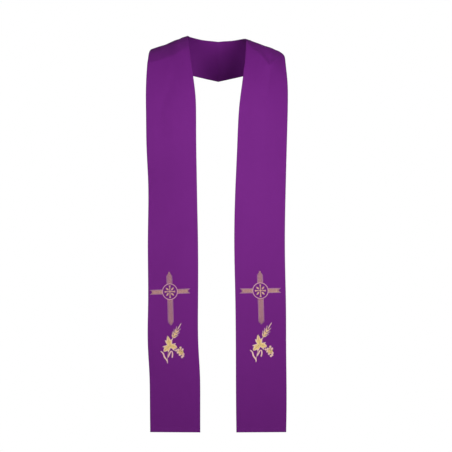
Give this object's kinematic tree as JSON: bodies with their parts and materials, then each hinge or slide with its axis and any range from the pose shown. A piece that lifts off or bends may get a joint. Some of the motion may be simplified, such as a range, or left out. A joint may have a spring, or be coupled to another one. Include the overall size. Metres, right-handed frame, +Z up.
{
  "type": "clerical stole",
  "caption": "Long cloth stole in its worn form: wide bands hang down the front from the shoulders and meet in a seam behind the neck.",
  "frame": {"origin": "top of the centre-back seam, halfway through the cloth, where the back of the wearer's neck carries it", "axes": "+Z up along the hanging bands, -Y to the front of the wearer, -X to the wearer's right"},
  "size_m": [0.39, 0.2735, 1.0963],
  "materials": {
    "right_cloth": "matte violet twill",
    "left_cloth": "matte violet twill"
  },
  "bodies": {
    "root": {"right_panel": "right_cloth", "left_panel": "left_cloth"}
  },
  "joints": []
}
